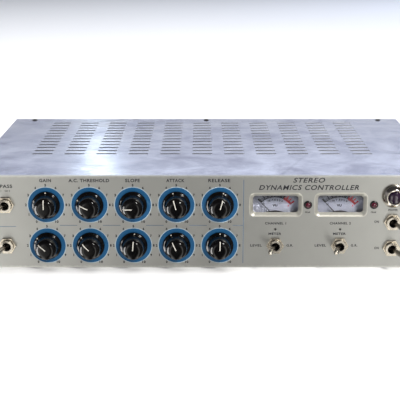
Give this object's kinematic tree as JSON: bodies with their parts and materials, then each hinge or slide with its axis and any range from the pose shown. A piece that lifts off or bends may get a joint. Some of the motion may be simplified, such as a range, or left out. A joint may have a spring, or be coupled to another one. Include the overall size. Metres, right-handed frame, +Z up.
{
  "type": "rack compressor",
  "caption": "Two-unit rack audio compressor: satin panel with skirted knobs, toggle switches, needle meters and lamps before a slotted steel case.",
  "frame": {"origin": "centre of the four rack slots, on the front panel's face", "axes": "+X to the right along the panel, +Y back into the rack, +Z up"},
  "size_m": [0.4826, 0.2986, 0.0884],
  "materials": {
    "panel_satin": "satin, fine horizontal brushing, printed in black and blue",
    "case_steel": "bare zinc-plated sheet",
    "cover_steel": "bare sheet, scratched and stained",
    "screw_black": "black oxide",
    "switch_steel": "plated",
    "nut_nickel": "bright nickel plate",
    "meter_black": "moulded black",
    "meter_glass": "clear acrylic",
    "dial_card": "matt white paint, printed scale",
    "needle_black": "matt black",
    "lamp_holder": "moulded black",
    "lamp_red": "dark red, unlit",
    "bezel_chrome": "polished",
    "jewel_dark": "dark faceted jewel, unlit",
    "brass": "turned",
    "knob_black": "gloss black, white filled mark",
    "board_green": "green solder mask",
    "socket_ceramic": "glazed ceramic",
    "valve_glass": "clear glass with a dark getter at the top",
    "toroid_tape": "yellow polyester tape",
    "can_painted": "hammered blue paint",
    "capacitor_sleeve": "dark blue sleeve",
    "connector_black": "moulded black",
    "connector_nickel": "satin nickel die casting"
  },
  "bodies": {
    "chassis": {"front_panel": "panel_satin", "chassis_tray": "case_steel", "rear_panel": "case_steel", "top_cover": "cover_steel", "machine_screws": "screw_black", "pot_bodies": "switch_steel", "pot_nuts": "nut_nickel", "switch_bodies": "switch_steel", "switch_nuts": "nut_nickel", "meter_housings": "meter_black", "meter_windows": "meter_glass", "meter_dials": "dial_card", "meter_movements": "meter_black", "led_holders": "lamp_holder", "led_lamps": "lamp_red", "pilot_bezel": "bezel_chrome", "pilot_jewel": "jewel_dark", "circuit_board": "board_green", "board_standoffs": "brass", "valve_sockets": "socket_ceramic", "valves": "valve_glass", "mains_transformer": "toroid_tape", "output_transformers": "can_painted", "filter_capacitors": "capacitor_sleeve", "xlr_inputs": "connector_black", "xlr_outputs": "connector_nickel", "sidechain_jacks": "connector_black", "mains_inlet": "connector_black", "fuse_holder": "connector_black"},
    "gain_1": {"knob_gain_1": "knob_black", "shaft_gain_1": "brass"},
    "threshold_1": {"knob_threshold_1": "knob_black", "shaft_threshold_1": "brass"},
    "slope_1": {"knob_slope_1": "knob_black", "shaft_slope_1": "brass"},
    "attack_1": {"knob_attack_1": "knob_black", "shaft_attack_1": "brass"},
    "release_1": {"knob_release_1": "knob_black", "shaft_release_1": "brass"},
    "gain_2": {"knob_gain_2": "knob_black", "shaft_gain_2": "brass"},
    "threshold_2": {"knob_threshold_2": "knob_black", "shaft_threshold_2": "brass"},
    "slope_2": {"knob_slope_2": "knob_black", "shaft_slope_2": "brass"},
    "attack_2": {"knob_attack_2": "knob_black", "shaft_attack_2": "brass"},
    "release_2": {"knob_release_2": "knob_black", "shaft_release_2": "brass"},
    "switch_bypass_1": {"lever_bypass_1": "nut_nickel"},
    "switch_bypass_2": {"lever_bypass_2": "nut_nickel"},
    "switch_meter_1": {"lever_meter_1": "nut_nickel"},
    "switch_meter_2": {"lever_meter_2": "nut_nickel"},
    "switch_power": {"lever_power": "nut_nickel"},
    "switch_link": {"lever_link": "nut_nickel"},
    "pointer_1": {"needle_1": "needle_black"},
    "pointer_2": {"needle_2": "needle_black"},
    "latch_1": {"xlr_latch_1": "nut_nickel"},
    "latch_2": {"xlr_latch_2": "nut_nickel"},
    "fuse_carrier": {"fuse_cap": "connector_black"}
  },
  "joints": [
    {"name": "turn_gain_1", "type": "hinge", "parent": "chassis", "child": "gain_1", "pos_m": [-0.148, 0, 0.0164], "axis": [0, 1, 0], "range_deg": [-150, 150]},
    {"name": "turn_threshold_1", "type": "hinge", "parent": "chassis", "child": "threshold_1", "pos_m": [-0.1083, 0, 0.0164], "axis": [0, 1, 0], "range_deg": [-85, 215]},
    {"name": "turn_slope_1", "type": "hinge", "parent": "chassis", "child": "slope_1", "pos_m": [-0.0686, 0, 0.0164], "axis": [0, 1, 0], "range_deg": [-60, 240]},
    {"name": "turn_attack_1", "type": "hinge", "parent": "chassis", "child": "attack_1", "pos_m": [-0.0289, 0, 0.0164], "axis": [0, 1, 0], "range_deg": [-135, 165]},
    {"name": "turn_release_1", "type": "hinge", "parent": "chassis", "child": "release_1", "pos_m": [0.0108, 0, 0.0164], "axis": [0, 1, 0], "range_deg": [-166, 134]},
    {"name": "turn_gain_2", "type": "hinge", "parent": "chassis", "child": "gain_2", "pos_m": [-0.148, 0, -0.0226], "axis": [0, 1, 0], "range_deg": [-100, 200]},
    {"name": "turn_threshold_2", "type": "hinge", "parent": "chassis", "child": "threshold_2", "pos_m": [-0.1083, 0, -0.0226], "axis": [0, 1, 0], "range_deg": [-106, 194]},
    {"name": "turn_slope_2", "type": "hinge", "parent": "chassis", "child": "slope_2", "pos_m": [-0.0686, 0, -0.0226], "axis": [0, 1, 0], "range_deg": [-155, 145]},
    {"name": "turn_attack_2", "type": "hinge", "parent": "chassis", "child": "attack_2", "pos_m": [-0.0289, 0, -0.0226], "axis": [0, 1, 0], "range_deg": [-125, 175]},
    {"name": "turn_release_2", "type": "hinge", "parent": "chassis", "child": "release_2", "pos_m": [0.0108, 0, -0.0226], "axis": [0, 1, 0], "range_deg": [-152, 148]},
    {"name": "flip_bypass_1", "type": "hinge", "parent": "chassis", "child": "switch_bypass_1", "pos_m": [-0.1852, 0, 0.0164], "axis": [0, 0, 1], "range_deg": [0, 30]},
    {"name": "flip_bypass_2", "type": "hinge", "parent": "chassis", "child": "switch_bypass_2", "pos_m": [-0.1852, 0, -0.0226], "axis": [0, 0, 1], "range_deg": [0, 30]},
    {"name": "flip_meter_1", "type": "hinge", "parent": "chassis", "child": "switch_meter_1", "pos_m": [0.0621, 0, -0.0226], "axis": [0, 0, 1], "range_deg": [0, 30]},
    {"name": "flip_meter_2", "type": "hinge", "parent": "chassis", "child": "switch_meter_2", "pos_m": [0.1216, 0, -0.0226], "axis": [0, 0, 1], "range_deg": [0, 30]},
    {"name": "flip_power", "type": "hinge", "parent": "chassis", "child": "switch_power", "pos_m": [0.1695, 0, 0], "axis": [0, 0, 1], "range_deg": [-30, 0]},
    {"name": "flip_link", "type": "hinge", "parent": "chassis", "child": "switch_link", "pos_m": [0.1695, 0, -0.025], "axis": [0, 0, 1], "range_deg": [-30, 0]},
    {"name": "swing_needle_1", "type": "hinge", "parent": "chassis", "child": "pointer_1", "pos_m": [0.0621, 0.012, 0.002], "axis": [0, 1, 0], "range_deg": [0, 86], "stiffness_Nm_per_rad": 0.0005},
    {"name": "swing_needle_2", "type": "hinge", "parent": "chassis", "child": "pointer_2", "pos_m": [0.1216, 0.012, 0.002], "axis": [0, 1, 0], "range_deg": [0, 86], "stiffness_Nm_per_rad": 0.0005},
    {"name": "press_latch_1", "type": "slide", "parent": "chassis", "child": "latch_1", "axis": [0, -1, 0], "range_m": [0, 0.0016], "stiffness_N_per_m": 400},
    {"name": "press_latch_2", "type": "slide", "parent": "chassis", "child": "latch_2", "axis": [0, -1, 0], "range_m": [0, 0.0016], "stiffness_N_per_m": 400},
    {"name": "turn_fuse_cap", "type": "hinge", "parent": "chassis", "child": "fuse_carrier", "pos_m": [0.122, 0.268, 0], "axis": [0, 1, 0], "range_deg": [0, 45]}
  ]
}
